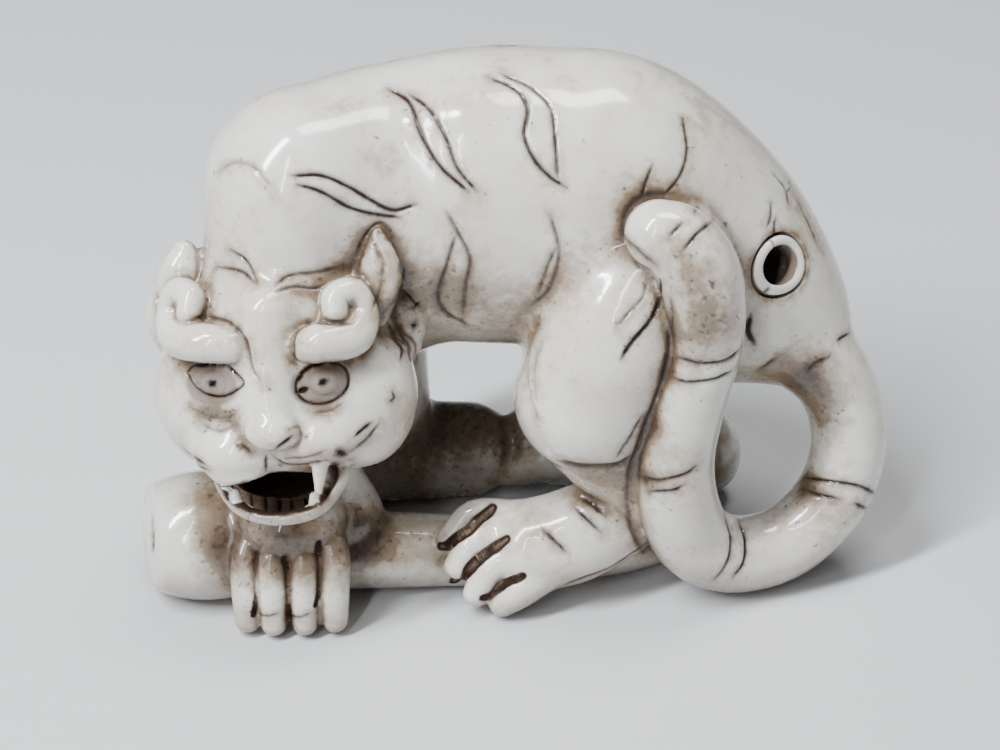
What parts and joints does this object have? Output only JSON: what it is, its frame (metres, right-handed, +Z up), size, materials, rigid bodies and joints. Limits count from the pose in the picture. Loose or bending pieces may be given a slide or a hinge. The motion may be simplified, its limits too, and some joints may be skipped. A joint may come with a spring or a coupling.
{
  "type": "netsuke",
  "caption": "Carved ivory netsuke of a tiger arched over a bamboo stem with its head turned and tail looped up; a bushed cord hole in the rump takes the cord",
  "frame": {"origin": "centre of the bounding box in plan, on the plane the carving stands on", "axes": "+X runs from the head to the tail loop, -Y is the side the face looks to, +Z is up"},
  "size_m": [0.0514, 0.0268, 0.0369],
  "materials": {
    "ivory": "polished ivory, stained brown in the cuts",
    "ring_ivory": "polished ivory, fresh white"
  },
  "bodies": {
    "root": {"tiger": "ivory", "cord_hole_ring": "ring_ivory"}
  },
  "joints": []
}
